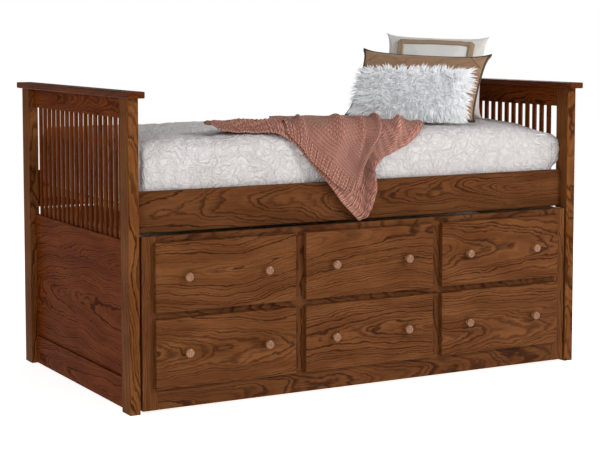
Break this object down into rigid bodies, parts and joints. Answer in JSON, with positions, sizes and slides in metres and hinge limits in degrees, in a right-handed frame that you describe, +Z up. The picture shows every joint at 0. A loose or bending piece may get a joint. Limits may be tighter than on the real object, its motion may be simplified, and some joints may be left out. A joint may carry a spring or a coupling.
{
  "type": "trundle bed",
  "caption": "Slatted-end oak bed with a dressed mattress over a roll-out trundle that has drawers below and a spare mattress inside.",
  "frame": {"origin": "centre of the bed's outline on the floor", "axes": "+X along the bed to the pillow end, +Y from the drawer side to the back, +Z up"},
  "size_m": [2.032, 1.1956, 1.3559],
  "materials": {
    "stained_oak_end": "dark brown stain under satin lacquer",
    "stained_oak": "mid brown stain under satin lacquer",
    "knob_oak": "turned, stained, satin lacquer",
    "plain_poplar": "sanded, clear sealed",
    "plywood": "veneered, stained",
    "zinc_steel": "zinc plated",
    "caster_nylon": "moulded",
    "mattress_ticking": "woven ticking",
    "coverlet_cotton": "quilted matelasse cotton",
    "coral_knit": "chunky knit",
    "pillow_cotton": "linen weave with braided trim",
    "pillow_suede": "brushed suede cloth, corded edge",
    "pillow_fur": "long pile faux fur"
  },
  "bodies": {
    "bed": {"post_front_left": "stained_oak_end", "post_front_right": "stained_oak_end", "post_back_left": "stained_oak_end", "post_back_right": "stained_oak_end", "cap_left": "stained_oak_end", "cap_right": "stained_oak_end", "top_rail_left": "stained_oak_end", "top_rail_right": "stained_oak_end", "mid_rail_left": "stained_oak_end", "mid_rail_right": "stained_oak_end", "bottom_rail_left": "stained_oak_end", "bottom_rail_right": "stained_oak_end", "end_panel_left": "stained_oak_end", "end_panel_right": "stained_oak_end", "end_slats_left": "stained_oak_end", "end_slats_right": "stained_oak_end", "side_rail_front": "stained_oak", "side_rail_back": "stained_oak", "deck_cleats": "plain_poplar", "deck_slats": "plain_poplar", "rail_brackets": "zinc_steel", "mattress": "mattress_ticking", "coverlet": "coverlet_cotton", "throw": "coral_knit", "pillow_braid": "pillow_cotton", "pillow_suede": "pillow_suede", "pillow_fur": "pillow_fur"},
    "trundle": {"frame_stiles": "stained_oak", "frame_top_rail": "stained_oak", "frame_mid_rail": "stained_oak", "frame_bottom_rail": "stained_oak", "frame_mullions": "stained_oak", "false_fronts": "stained_oak", "false_front_knobs": "knob_oak", "slide_blocks": "plain_poplar", "case_sides": "plywood", "case_back": "plywood", "case_bottom": "plywood", "trundle_deck": "plywood", "case_partitions": "plywood", "cabinet_slides": "zinc_steel", "caster_forks": "zinc_steel", "caster_axles": "zinc_steel", "trundle_mattress": "mattress_ticking"},
    "drawer_left": {"drawer_left_front": "stained_oak", "drawer_left_knobs": "knob_oak", "drawer_left_box": "plain_poplar", "drawer_left_runners": "zinc_steel"},
    "drawer_center": {"drawer_center_front": "stained_oak", "drawer_center_knobs": "knob_oak", "drawer_center_box": "plain_poplar", "drawer_center_runners": "zinc_steel"},
    "drawer_right": {"drawer_right_front": "stained_oak", "drawer_right_knobs": "knob_oak", "drawer_right_box": "plain_poplar", "drawer_right_runners": "zinc_steel"},
    "wheel_front_left": {"caster_wheel_front_left": "caster_nylon"},
    "wheel_back_left": {"caster_wheel_back_left": "caster_nylon"},
    "wheel_front_right": {"caster_wheel_front_right": "caster_nylon"},
    "wheel_back_right": {"caster_wheel_back_right": "caster_nylon"}
  },
  "joints": [
    {"name": "trundle_slide", "type": "slide", "parent": "bed", "child": "trundle", "axis": [0, -1, 0], "range_m": [0, 1]},
    {"name": "drawer_left_slide", "type": "slide", "parent": "trundle", "child": "drawer_left", "axis": [0, -1, 0], "range_m": [0, 0.4]},
    {"name": "drawer_center_slide", "type": "slide", "parent": "trundle", "child": "drawer_center", "axis": [0, -1, 0], "range_m": [0, 0.4]},
    {"name": "drawer_right_slide", "type": "slide", "parent": "trundle", "child": "drawer_right", "axis": [0, -1, 0], "range_m": [0, 0.4]},
    {"name": "wheel_front_left_roll", "type": "hinge", "parent": "trundle", "child": "wheel_front_left", "pos_m": [-0.8635, -0.45525, 0.025], "axis": [1, 0, 0], "continuous": true},
    {"name": "wheel_back_left_roll", "type": "hinge", "parent": "trundle", "child": "wheel_back_left", "pos_m": [-0.8635, 0.40475, 0.025], "axis": [1, 0, 0], "continuous": true},
    {"name": "wheel_front_right_roll", "type": "hinge", "parent": "trundle", "child": "wheel_front_right", "pos_m": [0.8635, -0.45525, 0.025], "axis": [1, 0, 0], "continuous": true},
    {"name": "wheel_back_right_roll", "type": "hinge", "parent": "trundle", "child": "wheel_back_right", "pos_m": [0.8635, 0.40475, 0.025], "axis": [1, 0, 0], "continuous": true}
  ]
}
